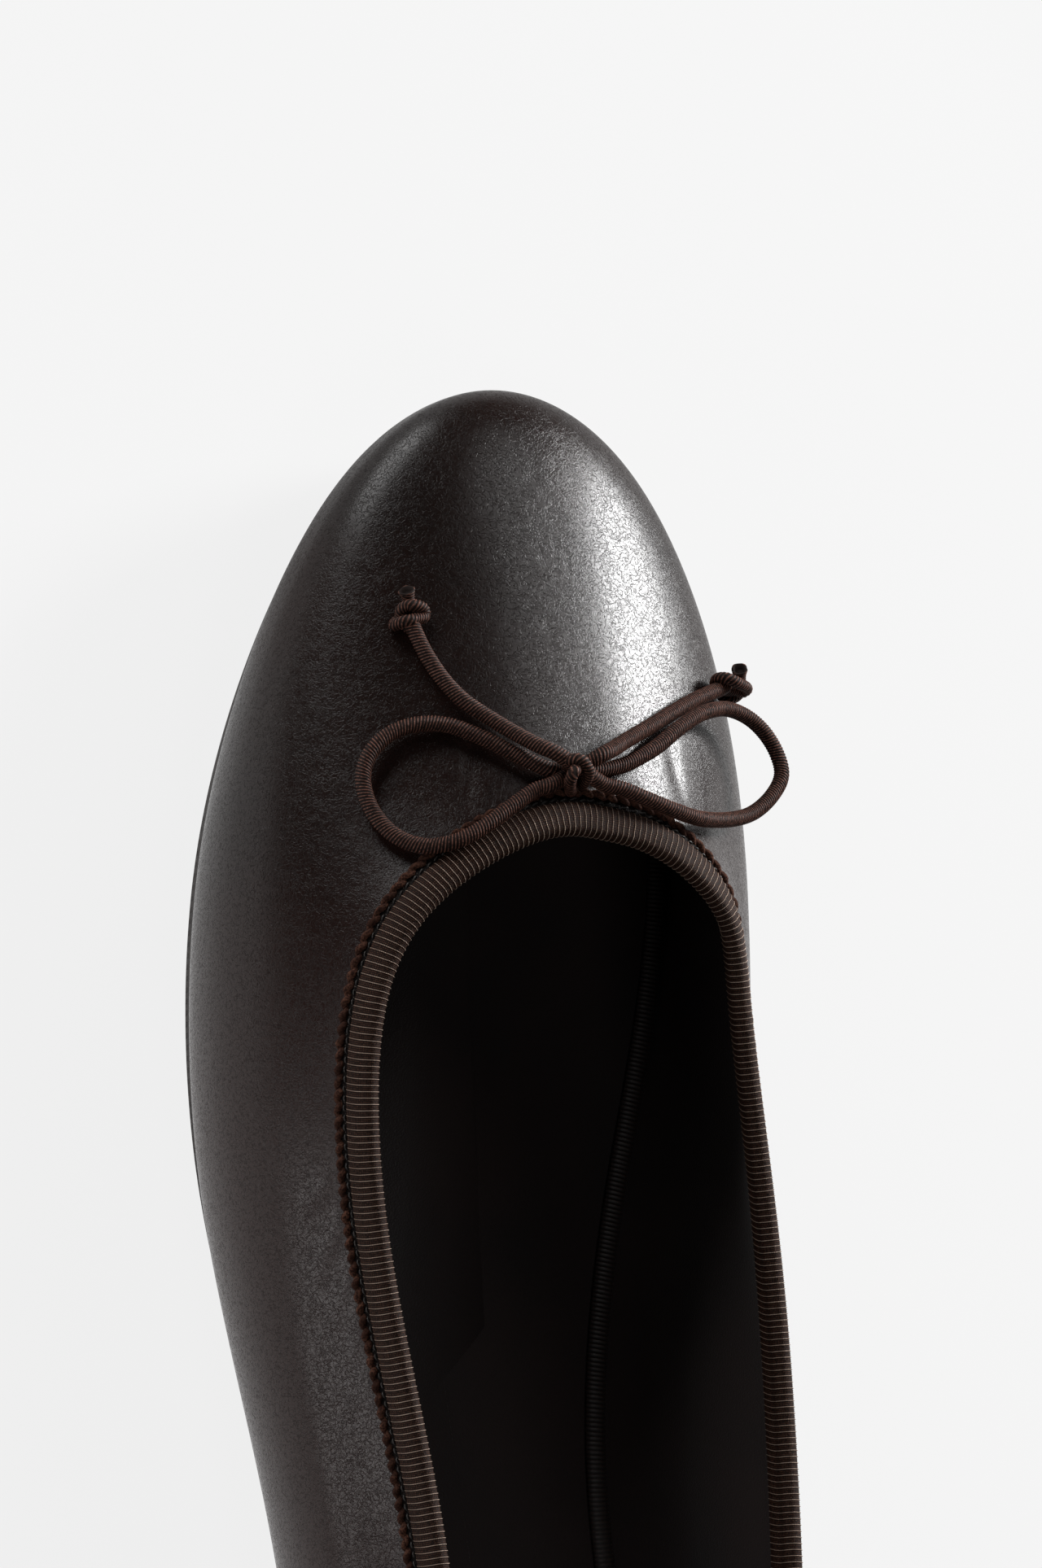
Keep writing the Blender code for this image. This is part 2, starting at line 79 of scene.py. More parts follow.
class Amount:
    """One output of a material's nodes, which Python's own signs work on."""

    def __init__(self, finish, socket):
        self.finish = finish
        self.socket = socket

    def sum(self, operation, *numbers):
        return self.finish.take("Math", {"operation": operation}, dict(enumerate(numbers)))

    def __add__(self, other):
        return self.sum("ADD", self, other)

    def __sub__(self, other):
        return self.sum("SUBTRACT", self, other)

    def __rsub__(self, other):
        return self.sum("SUBTRACT", other, self)

    def __mul__(self, other):
        return self.sum("MULTIPLY", self, other)

    def __pow__(self, other):
        return self.sum("POWER", self, other)

    __radd__ = __add__
    __rmul__ = __mul__

    def sine(self):
        return self.sum("SINE", self)

    def size(self):
        return self.sum("ABSOLUTE", self)

    def between(self, low, high):
        """0 at or under low, 1 at or over high, and smooth from one to the other."""
        settings = {"interpolation_type": "SMOOTHSTEP"}
        return self.finish.take("MapRange", settings, {"Value": self, 1: low, 2: high})


class Finish:
    """A material, with its nodes made one by one."""

    def __init__(self, name, colour, roughness, **constants):
        self.material = bpy.data.materials.new(name)
        self.material.use_nodes = True
        self.tree = self.material.node_tree
        self.shader = self.tree.nodes["Principled BSDF"]
        self.place = self.take("TexCoord", {}, {}, "Object")
        self.feed(self.shader, {"Base Color": colour, "Roughness": roughness})
        for socket, value in constants.items():
            self.feed(self.shader, {socket.replace("_", " "): value})

    def feed(self, node, values):
        for socket, value in values.items():
            if isinstance(value, Amount):
                self.tree.links.new(value.socket, node.inputs[socket])
            elif node.inputs[socket].type == "RGBA":
                node.inputs[socket].default_value = (*value, 1.0)
            else:
                node.inputs[socket].default_value = value

    def take(self, kind, settings, values, output=0):
        node = self.tree.nodes.new("ShaderNode" + kind)
        for name, value in settings.items():
            setattr(node, name, value)
        self.feed(node, values)
        return Amount(self, node.outputs[output])

    def stored(self, name):
        """A number kept at the piece's points."""
        return self.take("Attribute", {"attribute_name": name}, {}, "Fac")

    def along(self, axis):
        """How far a point of the piece lies along this axis, in metres."""
        return self.take("SeparateXYZ", {}, {0: self.place}, axis)

    def noise(self, scale, detail, place=None):
        values = {"Vector": place or self.place, "Scale": scale, "Detail": detail}
        return self.take("TexNoise", {}, values, "Fac")

    def blend(self, share, first, second):
        """One colour turning into another as the share goes from 0 to 1."""
        return self.take("Mix", {"data_type": "RGBA"}, {0: share, 6: first, 7: second}, 2)

    def relief(self, height, depth):
        """Bump from a height of 0 to 1 that stands for this depth in metres."""
        bump = self.take("Bump", {}, {"Height": height, "Distance": depth, "Strength": 1.0})
        self.feed(self.shader, {"Normal": bump})


def smooth_route(points, step):
    """Points evenly spaced on a smooth curve through the chosen ones."""
    route = np.array(points, dtype=float)
    padded = np.concatenate([[2.0 * route[0] - route[1]], route, [2.0 * route[-1] - route[-2]]])
    t = np.linspace(0.0, 1.0, 40, endpoint=False)[:, None]
    fine = []
    for a, b, c, d in zip(padded, padded[1:], padded[2:], padded[3:]):
        fine.append(0.5 * (2.0 * b + (c - a) * t + (2.0 * a - 5.0 * b + 4.0 * c - d) * t * t
                           + (3.0 * b - a - 3.0 * c + d) * t ** 3))
    fine = np.concatenate(fine + [route[-1:]])
    run = np.append(0.0, np.cumsum(np.linalg.norm(np.diff(fine, axis=0), axis=1)))
    at = np.linspace(0.0, run[-1], max(4, round(run[-1] / step)) + 1)
    return np.stack([np.interp(at, run, fine[:, i]) for i in range(3)], axis=1)


def tube_rings(route, radius):
    """Rings round a route; radius has a row for each of its points and a column for each side."""
    way = np.gradient(route, axis=0)
    way /= np.linalg.norm(way, axis=1)[:, None]
    side = np.cross(way[0], (0.0, 0.0, 1.0))
    sides = []
    for direction in way:
        side = side - direction * side.dot(direction)
        side = side / np.linalg.norm(side)
        sides.append(side)
    sides = np.array(sides)
    ups = np.cross(way, sides)
    angle = np.arange(radius.shape[1]) * 2.0 * math.pi / radius.shape[1]
    spokes = sides[:, None, :] * np.cos(angle)[:, None] + ups[:, None, :] * np.sin(angle)[:, None]
    return route[:, None, :] + spokes * radius[:, :, None]


def ring_mesh(name, rings, finish, closed=False, stored=None):
    """A piece whose skin runs through rings of points, turned so that it faces outward.

    Closed, its last ring joins its first. Open, it has a face over each end.
    """
    rings = np.asarray(rings)
    count, sides = rings.shape[:2]
    i = np.arange(count if closed else count - 1)[:, None]
    j = np.arange(sides)[None, :]
    after = (i + 1) % count
    beside = (j + 1) % sides
    corners = (i * sides + j, i * sides + beside, after * sides + beside, after * sides + j)
    faces = np.stack(corners, axis=-1).reshape(-1, 4)
    points = rings.reshape(-1, 3)
    a, b, c, d = (points[faces[:, k]] for k in range(4))
    inside_out = (np.cross(b - a, c - a) * a).sum() + (np.cross(c - a, d - a) * a).sum() < 0.0
    faces = faces.tolist()
    if not closed:
        faces.append(list(range(sides))[::-1])
        faces.append(list(range((count - 1) * sides, count * sides)))
    if inside_out:
        faces = [face[::-1] for face in faces]
    mesh = bpy.data.meshes.new(name)
    mesh.from_pydata(points.tolist(), [], faces)
    for key, value in (stored or {}).items():
        numbers = np.broadcast_to(value, (count, sides)).astype(np.float32).ravel()
        mesh.attributes.new(key, "FLOAT", "POINT").data.foreach_set("value", numbers)
    mesh.shade_smooth()
    mesh.materials.append(finish.material)
    piece = bpy.data.objects.new(name, mesh)
    bpy.context.scene.collection.objects.link(piece)
    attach(piece, "root")
    return piece


def cord_surface(route, width, swelling=1.0):
    """Rings of a cord with the slanting turns of its braided cover, and how high each point is."""
    run = np.arange(len(route)) * cord_step
    angle = np.arange(cord_sides) * 2.0 * math.pi / cord_sides
    turn = 2.0 * math.pi * run[:, None] / braid_pitch + braid_strands * angle[None, :]
    crest = 0.5 + 0.5 * np.cos(turn)
    uneven = 0.5 + 0.5 * np.sin(run[:, None] * uneven_rate + 2.0 * angle[None, :])
    half = width / 2.0 * (valley_share + crest_share * crest + uneven_share * uneven)
    return tube_rings(route, half * swelling), crest


def braided(name, route, width):
    """A piece of the bow's cord with flat ends, which other cord hides."""
    rings, crest = cord_surface(smooth_route(route, cord_step), width)
    return ring_mesh(name, rings, cord_finish, stored={"crest": crest})


cord_finish = Finish("braided_cord_cover", (0.05, 0.03, 0.02), 0.5, Specular_IOR_Level=0.14)
thread = cord_finish.stored("crest")
fleck = cord_finish.noise(2600.0, 3.0)
tone = cord_finish.noise(160.0, 2.0)
# The dark colour is the cord's own, and in the valleys of the braid it is painted shade as well;
# the light colour on the crests, where the fleck allows, is a painted glint
deep = cord_finish.blend(tone, (0.008, 0.0036, 0.0026), (0.014, 0.0068, 0.0050))
crest_glint_colour = cord_finish.blend(tone, (0.180, 0.070, 0.048), (0.315, 0.145, 0.105))
crest_glints = thread.between(0.46, 0.96) * fleck.between(0.25, 0.70)
cord_finish.feed(cord_finish.shader, {
    "Base Color": cord_finish.blend(crest_glints, deep, crest_glint_colour),
    "Roughness": 0.70 - 0.24 * thread})
cord_finish.relief(thread * 0.6 + fleck * 0.4, 0.00006)

inner_cord_route = (
    (0.0010, 0.1945, 0.0432), (0.0030, 0.1943, 0.0434), (0.0054, 0.1943, 0.0434),
    (0.0083, 0.1948, 0.0431), (0.0111, 0.1956, 0.0427), (0.0158, 0.1977, 0.0418),
    (0.0204, 0.2004, 0.0403), (0.0256, 0.2027, 0.0380), (0.0311, 0.2037, 0.0353),
    (0.0357, 0.2028, 0.0336), (0.0389, 0.2006, 0.0331), (0.0409, 0.1975, 0.0331),
    (0.0411, 0.1943, 0.0337), (0.0385, 0.1913, 0.0349), (0.0343, 0.1889, 0.0366),
    (0.0289, 0.1878, 0.0393), (0.0218, 0.1876, 0.0433), (0.0163, 0.1887, 0.0451),
    (0.0118, 0.1902, 0.0456), (0.0079, 0.1916, 0.0456), (0.0049, 0.1923, 0.0455),
    (0.0011, 0.1943, 0.0461), (-0.0026, 0.1966, 0.0455), (-0.0047, 0.1979, 0.0439),
    (-0.0069, 0.1998, 0.0415), (-0.0094, 0.2021, 0.0391), (-0.0121, 0.2046, 0.0371),
    (-0.0140, 0.2075, 0.0353), (-0.0154, 0.2106, 0.0338), (-0.0163, 0.2134, 0.0327),
    (-0.0169, 0.2160, 0.0318),
)
outer_cord_route = (
    (0.0008, 0.1946, 0.0430), (-0.0010, 0.1944, 0.0432), (-0.0029, 0.1947, 0.0430),
    (-0.0068, 0.1970, 0.0411), (-0.0106, 0.1993, 0.0391), (-0.0144, 0.2011, 0.0371),
    (-0.0184, 0.2014, 0.0357), (-0.0223, 0.2002, 0.0345), (-0.0254, 0.1975, 0.0341),
    (-0.0269, 0.1940, 0.0344), (-0.0267, 0.1902, 0.0356), (-0.0254, 0.1870, 0.0374),
    (-0.0234, 0.1849, 0.0396), (-0.0207, 0.1841, 0.0418), (-0.0173, 0.1848, 0.0438),
    (-0.0133, 0.1869, 0.0447), (-0.0093, 0.1894, 0.0448), (-0.0057, 0.1915, 0.0447),
    (-0.0030, 0.1923, 0.0449), (0.0010, 0.1942, 0.0441), (0.0048, 0.1963, 0.0453),
    (0.0076, 0.1973, 0.0440), (0.0105, 0.1985, 0.0423), (0.0168, 0.2010, 0.0394),
    (0.0225, 0.2033, 0.0365), (0.0279, 0.2053, 0.0337), (0.0326, 0.2067, 0.0312),
    (0.0345, 0.2074, 0.0303),
)
bow_cords = []
for name, route, nodes in (
        ("bow_cord_inner", inner_cord_route, ("bow_loop_medial", "bow_end_lateral")),
        ("bow_cord_outer", outer_cord_route, ("bow_loop_lateral", "bow_end_medial"))):
    route = np.array(route) + heel_to_frame
    piece = braided(name, route, cord_width)
    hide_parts(*nodes)
    bow_cords.append((piece, smooth_route(route, 0.0005)))


# Knots of the bow
# The same cord, drawn tight: two turns over the crossing in the middle of the bow, and an
# overhand knot on each loose end with a short cut end that flares where the braid opens.
tight_cord = 0.0017
# The cut end: how much it flares, where on the run that starts, and the dark hollow in it
flare_share = 0.40
flare_from = 0.92
rim_share = 0.74
rim_rise = 0.00005
hollow_share = 0.52
hollow_depth = 0.00050

outer_knot_route = (
    (-0.0166, 0.2150, 0.0312), (-0.0171, 0.2156, 0.0306), (-0.0174, 0.2163, 0.0302),
    (-0.0176, 0.2170, 0.0303), (-0.0177, 0.2177, 0.0308), (-0.0172, 0.2182, 0.0315),
    (-0.0166, 0.2182, 0.0320), (-0.0157, 0.2181, 0.0321), (-0.0148, 0.2177, 0.0318),
    (-0.0146, 0.2170, 0.0316), (-0.0151, 0.2165, 0.0319), (-0.0162, 0.2163, 0.0322),
    (-0.0172, 0.2161, 0.0324), (-0.0180, 0.2160, 0.0321), (-0.0185, 0.2158, 0.0313),
    (-0.0187, 0.2156, 0.0304), (-0.0182, 0.2160, 0.0298), (-0.0175, 0.2165, 0.0298),
    (-0.0168, 0.2173, 0.0301), (-0.0163, 0.2181, 0.0303), (-0.0162, 0.2188, 0.0304),
    (-0.0164, 0.2194, 0.0305), (-0.0167, 0.2199, 0.0308), (-0.0170, 0.2204, 0.0311),
)
inner_knot_route = (
    (0.0338, 0.2069, 0.0303), (0.0353, 0.2068, 0.0297), (0.0368, 0.2067, 0.0293),
    (0.0379, 0.2066, 0.0294), (0.0381, 0.2069, 0.0302), (0.0372, 0.2072, 0.0313),
    (0.0359, 0.2075, 0.0320), (0.0347, 0.2079, 0.0324), (0.0337, 0.2083, 0.0322),
    (0.0331, 0.2084, 0.0314), (0.0331, 0.2082, 0.0303), (0.0336, 0.2076, 0.0292),
    (0.0345, 0.2068, 0.0284), (0.0352, 0.2061, 0.0284), (0.0359, 0.2057, 0.0287),
    (0.0369, 0.2059, 0.0286), (0.0380, 0.2064, 0.0280), (0.0386, 0.2071, 0.0277),
    (0.0384, 0.2077, 0.0283), (0.0377, 0.2082, 0.0292), (0.0372, 0.2086, 0.0300),
    (0.0368, 0.2091, 0.0306), (0.0364, 0.2097, 0.0313),
)


def end_knot(name, route):
    """An overhand knot that opens towards its cut end, where the cover stands round a hollow."""
    route = smooth_route(route, cord_step)
    share = np.arange(len(route)) / (len(route) - 1.0)
    flare = 1.0 + flare_share * np.clip((share - flare_from) / (1.0 - flare_from), 0.0, 1.0) ** 1.5
    rings, crest = cord_surface(route, tight_cord, flare[:, None])
    last = rings[-1]
    middle = last.mean(axis=0)
    back = (route[-8] - route[-1]) / np.linalg.norm(route[-8] - route[-1])
    rim = middle + (last - middle) * rim_share - back * rim_rise
    hollow = middle + (last - middle) * hollow_share + back * hollow_depth
    rings = np.concatenate([rings, [rim, hollow]])
    crest = np.concatenate([crest, np.full((2, cord_sides), 0.3)])
    crest[-1] = 0.0
    return ring_mesh(name, rings, cord_finish, stored={"crest": crest})


end_knots = []
for name, node, route in (("end_knot_outer", "bow_end_knot_lateral", outer_knot_route),
                          ("end_knot_inner", "bow_end_knot_medial", inner_knot_route)):
    piece = end_knot(name, np.array(route) + heel_to_frame)
    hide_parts(node)
    end_knots.append(piece)

middle_turns = (
    ((0.0014, 0.1951, 0.0450), (0.0000, 0.1945, 0.0468), (-0.0009, 0.1940, 0.0477),
     (-0.0013, 0.1936, 0.0478), (-0.0013, 0.1929, 0.0472), (-0.0009, 0.1923, 0.0462),
     (-0.0001, 0.1917, 0.0449), (0.0007, 0.1915, 0.0436), (0.0015, 0.1915, 0.0424)),
    ((0.0003, 0.1949, 0.0440), (-0.0007, 0.1953, 0.0455), (-0.0009, 0.1955, 0.0468),
     (-0.0004, 0.1956, 0.0476), (0.0004, 0.1952, 0.0479), (0.0010, 0.1945, 0.0478),
     (0.0015, 0.1939, 0.0474), (0.0018, 0.1931, 0.0464), (0.0020, 0.1926, 0.0452),
     (0.0023, 0.1924, 0.0438)),
)
for number, route in enumerate(middle_turns):
    braided("middle_knot_turn_%d" % (number + 1),
                               np.array(route) + heel_to_frame, tight_cord)
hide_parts("bow_knot")

for (piece, path), knot in zip(bow_cords, end_knots):
    length = float(np.linalg.norm(np.diff(path, axis=0), axis=1).sum())
    path[::3].tolist() + [path[-1].tolist()]


# Upper
# One piece of smooth calf leather, nearly black, pulled over the last with its margin turned
# under the insole. Its fine grain shows as a net of creases where the light skims the vamp.
last_length = 0.250
ball_width = 0.084
throat_height = 0.0444
back_height = 0.0620
side_rise = 0.0140
box_rise = 0.0120
vamp_reach = 0.0340
tuck_depth = 0.0050
sole_to_feather = 0.0033
heel_lift = 0.0078
breast = 0.0550
toe_spring = 0.0070
margin_width = 0.0090
leather = 0.0007
wall = 0.0012
# Shares of the last's length where the sole comes down to the floor and leaves it again
down_at = 0.58
up_from = 0.72
crossing_ease = 0.0015

# Ribs of the last, clockwise from the toe seen from above: turn in degrees; widest line; its
# rise; topline across and along; throat and back height; box; reach; slope; tuck
last_ribs = np.array((
    (0, 0.110, 0.68, 0.130, 0.745, 1.00, 0.00, 0.75, 1.00, 22, 1.0),
    (22, 0.590, 0.68, 0.377, 0.732, 1.00, 0.00, 0.83, 0.88, 27, 1.0),
    (42, 0.890, 0.75, 0.609, 0.697, 0.98, 0.00, 1.08, 0.56, 42, 1.0),
    (62, 0.990, 0.89, 0.690, 0.632, 0.94, 0.00, 1.25, 0.32, 62, 1.0),
    (82, 0.870, 1.00, 0.776, 0.500, 0.92, 0.00, 1.00, 0.24, 72, 2.4),
    (104, 0.690, 1.07, 0.764, 0.340, 0.84, 0.10, 1.00, 0.24, 78, 3.1),
    (136, 0.710, 1.00, 0.640, 0.160, 0.34, 0.58, 1.17, 0.29, 78, 1.4),
    (158, 0.490, 1.00, 0.460, 0.061, 0.10, 0.87, 1.25, 0.32, 80, 1.1),
    (180, 0.000, 1.00, 0.000, 0.024, 0.00, 1.00, 1.33, 0.35, 82, 1.0),
    (202, -0.500, 1.00, -0.465, 0.061, 0.10, 0.87, 1.25, 0.32, 80, 1.0),
    (224, -0.740, 1.00, -0.650, 0.160, 0.34, 0.58, 1.17, 0.29, 78, 1.0),
    (256, -0.864, 0.93, -0.610, 0.350, 0.84, 0.10, 1.00, 0.24, 82, 1.35),
    (280, -1.000, 0.86, -0.737, 0.530, 0.90, 0.00, 1.00, 0.24, 66, 1.0),
    (298, -0.938, 0.75, -0.724, 0.647, 0.92, 0.00, 1.00, 0.27, 58, 0.85),
    (318, -0.690, 0.68, -0.480, 0.714, 0.97, 0.00, 0.83, 0.53, 40, 0.85),
    (338, -0.350, 0.68, -0.127, 0.744, 1.00, 0.00, 0.75, 0.88, 27, 0.9),
))


def closed_spline(knots, values, at):
    """One smooth closed curve through the table's values."""
    count = len(values)
    gaps = np.diff(knots)
    left = np.zeros((count, count))
    right = np.zeros(values.shape)
    for i in range(count):
        before = gaps[i - 1]
        after = gaps[i]
        following = (i + 1) % count
        left[i, i - 1] += before
        left[i, i] += 2.0 * (before + after)
        left[i, following] += after
        rate_after = (values[following] - values[i]) / after
        rate_before = (values[i] - values[i - 1]) / before
        right[i] = 6.0 * (rate_after - rate_before)
    bend = np.linalg.solve(left, right)
    at = np.mod(at, knots[-1])
    i = np.clip(np.searchsorted(knots, at, "right") - 1, 0, count - 1)
    j = (i + 1) % count
    t = (at - knots[i])[:, None]
    span = gaps[i][:, None]
    curve = (bend[i] * (span - t) ** 3 + bend[j] * t ** 3) / (6.0 * span)
    curve += (values[i] / span - bend[i] * span / 6.0) * (span - t)
    return curve + (values[j] / span - bend[j] * span / 6.0) * t


def feather_height(y):
    """Underside of the upper above the floor."""
    share = y / last_length
    drop = np.clip((share - breast / last_length) / (down_at - breast / last_length), 0.0, 1.0)
    drop = drop * drop * (3.0 - 2.0 * drop)
    toe = np.clip((share - up_from) / (1.0 - up_from), 0.0, 1.0)
    return sole_to_feather + heel_lift * (1.0 - drop) + toe_spring * toe ** 1.7


def rib_values(turn):
    """The table's columns by name, read off at these turns."""
    found = closed_spline(np.append(last_ribs[:, 0], 360.0), last_ribs[:, 1:], turn)
    names = ("girth", "rise", "top_x", "top_y", "throat", "back", "box", "reach", "slope", "tuck")
    return {name: found[:, i] for i, name in enumerate(names)}


def widest_line(turn):
    x = rib_values(turn)["girth"] * ball_width / 2.0
    return np.stack([x, last_length * (1.0 + np.cos(np.radians(turn))) / 2.0], axis=1)


def outward(turn):
    """Level direction square to the widest line, away from the foot."""
    along = widest_line(turn + 0.05) - widest_line(turn - 0.05)
    along /= np.linalg.norm(along, axis=1)[:, None]
    return np.stack([-along[:, 1], along[:, 0]], axis=1)


def feather_line(turn):
    """Plan of the edge where the upper turns under the foot."""
    return widest_line(turn) - outward(turn) * (rib_values(turn)["tuck"] * tuck_depth)[:, None]


def lift(xy, height):
    """A plan raised to these heights."""
    return np.stack([xy[:, 0], xy[:, 1], height], axis=1)


def skin(turn, step):
    """Outer face of the last: 0 to 1 under the foot, 1 to 2 the tuck, 2 to 3 up to the topline."""
    rib = rib_values(turn)
    wide = widest_line(turn)
    away = outward(turn)
    feather = wide - away * (rib["tuck"] * tuck_depth)[:, None]
    rise = rib["rise"] * side_rise
    wide_3d = lift(wide, feather_height(wide[:, 1]) + rise)
    inside = feather - away * (margin_width * (1.0 - np.clip(step, 0.0, 1.0)))[:, None]
    margin = lift(inside, feather_height(inside[:, 1]))
    angle = np.clip(step - 1.0, 0.0, 1.0) * math.pi / 2.0
    tuck_xy = feather + (wide - feather) * np.sin(angle)[:, None]
    tuck = lift(tuck_xy, feather_height(tuck_xy[:, 1]) + rise * (1.0 - np.cos(angle)))
    top_z = rib["throat"] * throat_height + rib["back"] * back_height
    top = np.stack([rib["top_x"] * ball_width / 2.0, rib["top_y"] * last_length, top_z], axis=1)
    run = top[:, :2] - wide
    # Eased, because the topline crosses over the widest line by the arch
    run /= np.sqrt((run ** 2).sum(axis=1) + crossing_ease ** 2)[:, None]
    slope = np.radians(rib["slope"])
    lean = lift(run * np.cos(slope)[:, None], np.sin(slope))
    upright = wide_3d + lift(np.zeros_like(wide), rib["box"] * box_rise)
    below = top - lean * (rib["reach"] * vamp_reach)[:, None]
    k = np.maximum(step - 2.0, 0.0)[:, None]
    side = (1.0 - k) ** 3 * wide_3d + 3.0 * k * (1.0 - k) ** 2 * upright
    side += 3.0 * k * k * (1.0 - k) * below + k ** 3 * top
    low = np.where((step < 1.0)[:, None], margin, tuck)
    return np.where((step < 2.0)[:, None], low, side)


def skin_normal(turn, step):
    round_way = skin(turn + 0.05, step) - skin(turn - 0.05, step)
    up_way = skin(turn, step + 0.004) - skin(turn, np.maximum(step - 0.004, 0.0))
    normal = np.cross(up_way, round_way)
    return normal / np.linalg.norm(normal, axis=1)[:, None]


def skin_rise(turn):
    """Direction up the rib where it ends at the topline."""
    top = np.full_like(turn, 3.0)
    way = skin(turn, top + 0.004) - skin(turn, top - 0.004)
    return way / np.linalg.norm(way, axis=1)[:, None]


def off_skin(turn, step, off):
    """The last's face along one step, moved this far off it."""
    steps = np.full_like(turn, step)
    return skin(turn, steps) + skin_normal(turn, steps) * off


# Soft creases: turn and step along each, half width and depth in metres
creases = (
    (((25.6, 2.755), (27.0, 2.80), (28.0, 2.84), (28.4, 2.88)), 0.0015, 0.00019),
    (((334.0, 2.80), (330.0, 2.86), (327.0, 2.90)), 0.0014, 0.00025),
    (((277.5, 2.83), (275.5, 2.76), (273.0, 2.68), (270.0, 2.58)), 0.0009, 0.00016),
    (((276.0, 2.84), (273.6, 2.77), (271.0, 2.69)), 0.0008, 0.00013),
    (((279.6, 2.80), (277.6, 2.71), (275.0, 2.60), (272.0, 2.50)), 0.0010, 0.00015),
    (((273.0, 2.80), (270.5, 2.72), (268.0, 2.62)), 0.0009, 0.00012),
    (((281.5, 2.74), (279.5, 2.62), (277.0, 2.50)), 0.0011, 0.00012),
    (((268.5, 2.78), (266.0, 2.66), (263.5, 2.54)), 0.0011, 0.00010),
    (((86.0, 2.82), (89.0, 2.70), (92.0, 2.60)), 0.0012, 0.00018),
    (((90.0, 2.84), (93.5, 2.72), (96.0, 2.62)), 0.0012, 0.00015),
)
longest_crease = 0.030
crease_routes = []
for line, half, depth in creases:
    crease_turns, crease_steps = np.array(line).T
    crease_routes.append((smooth_route(skin(crease_turns, crease_steps), 0.0004), half, depth))


def creased(place, normal):
    """The skin with its soft creases pressed in."""
    moved = np.zeros(len(place))
    for route, half, depth in crease_routes:
        near = np.linalg.norm(place - route[len(route) // 2], axis=1) < longest_crease
        gaps = np.linalg.norm(place[near][:, None, :] - route[None, :, :], axis=2)
        share = gaps.argmin(axis=1) / (len(route) - 1.0)
        fade = np.sin(np.pi * np.clip(share, 0.0, 1.0)) ** 0.7
        moved[near] -= depth * fade * np.exp(-(gaps.min(axis=1) / half) ** 2)
    return place + normal * moved[:, None]


columns = 560
turns = np.arange(columns) * 360.0 / columns
outer_steps = np.concatenate([[0.0, 0.5, 1.0], 1.0 + np.linspace(0.07, 1.0, 14),
                              2.0 + np.linspace(0.0105, 1.0, 96)])
inner_steps = np.concatenate([np.linspace(3.0, 2.0, 12), [1.75, 1.5, 1.25, 1.0, 0.5, 0.0]])
upper_rings = []
for step in outer_steps:
    steps = np.full(columns, step)
    upper_rings.append(creased(skin(turns, steps), skin_normal(turns, steps)))
for step in inner_steps:
    upper_rings.append(off_skin(turns, step, -leather))

calf = Finish("smooth_calf", (0.02, 0.015, 0.012), 0.4, Specular_IOR_Level=0.40)
warp = calf.take("TexNoise", {}, {"Vector": calf.place, "Scale": 420.0, "Detail": 3.0}, "Color")
bent = calf.take("VectorMath", {"operation": "MULTIPLY_ADD"},
                 {0: warp, 1: (0.0011, 0.0011, 0.0011), 2: calf.place})
# The net of creases is 0 in a crease and 1 on the swells between
folds = (calf.noise(1300.0, 2.0, place=bent) - 0.5).size().between(0.0, 0.05)
small_folds = (calf.noise(2700.0, 2.0, place=bent) - 0.5).size().between(0.0, 0.08)
swells = calf.noise(1000.0, 2.0, place=bent)
net = folds * 0.6 + small_folds * 0.4
pores = calf.noise(5200.0, 2.0)
patch = calf.noise(26.0, 3.0)
cloud = calf.noise(70.0, 4.0)
calf_forward = calf.along("Y")
calf_colour = calf.blend(patch.between(0.35, 0.7),
                         (0.0086, 0.0040, 0.0031), (0.0142, 0.0059, 0.0044))
calf_colour = calf.blend(calf_forward.between(0.010, 0.080),
                         (0.0260, 0.0103, 0.0081), calf_colour)
# The creases of the grain take a darker colour: painted shade on top of their bump
calf.feed(calf.shader, {
    "Base Color": calf.blend(net, (0.0030, 0.0022, 0.0019), calf_colour),
    "Roughness": 0.205 + 0.09 * (1.0 - net) + 0.04 * cloud})
calf.relief(net * 0.52 + swells * 0.32 + pores * 0.16, 0.000036)

# Low on the flanks of the toe and on the inner side, and in the creases of the grain, part of the
# shine is swapped for plain diffuse colour: painted shade that dims the floor's reflection there
# and shades the creases
calf_level = calf.along("Z")
calf_side = calf.along("X")
painted_flank_shade = calf_forward.between(0.070, 0.105) * (1.0 - calf_level.between(0.012, 0.028))
inner_flank_shade = calf_side.between(0.0, 0.02) * (1.0 - calf_level.between(0.014, 0.034))
painted_flank_shade = painted_flank_shade * 0.6 + inner_flank_shade * 0.25 - painted_flank_shade * inner_flank_shade * 0.25
painted_shade_share = painted_flank_shade + (1.0 - painted_flank_shade) * (1.0 - net) * 0.55
shine_free_diffuse = calf.take("BsdfDiffuse", {}, {"Color": calf_colour})
shining = Amount(calf, calf.shader.outputs[0])
both = calf.take("MixShader", {}, {0: painted_shade_share, 1: shining, 2: shine_free_diffuse})
calf.tree.links.new(both.socket, calf.tree.nodes["Material Output"].inputs["Surface"])

upper = ring_mesh("upper_leather", np.array(upper_rings) + heel_to_frame, calf,
                  closed=True)
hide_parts("upper")


# Lining
# Brushed brown suede cemented inside the leather, wrapped under the insole with it. The nap
# lies in soft patches, and almost no light reaches it.
cement = 0.00003
lining_steps = np.concatenate([np.linspace(3.0, 2.0, 26), np.linspace(1.9, 1.0, 10), [0.5, 0.0]])
lining_turns = np.arange(400) * 0.9
lining_rings = [off_skin(lining_turns, step, -(leather + cement)) for step in lining_steps[::-3]]
lining_rings += [off_skin(lining_turns, step, -wall) for step in lining_steps]

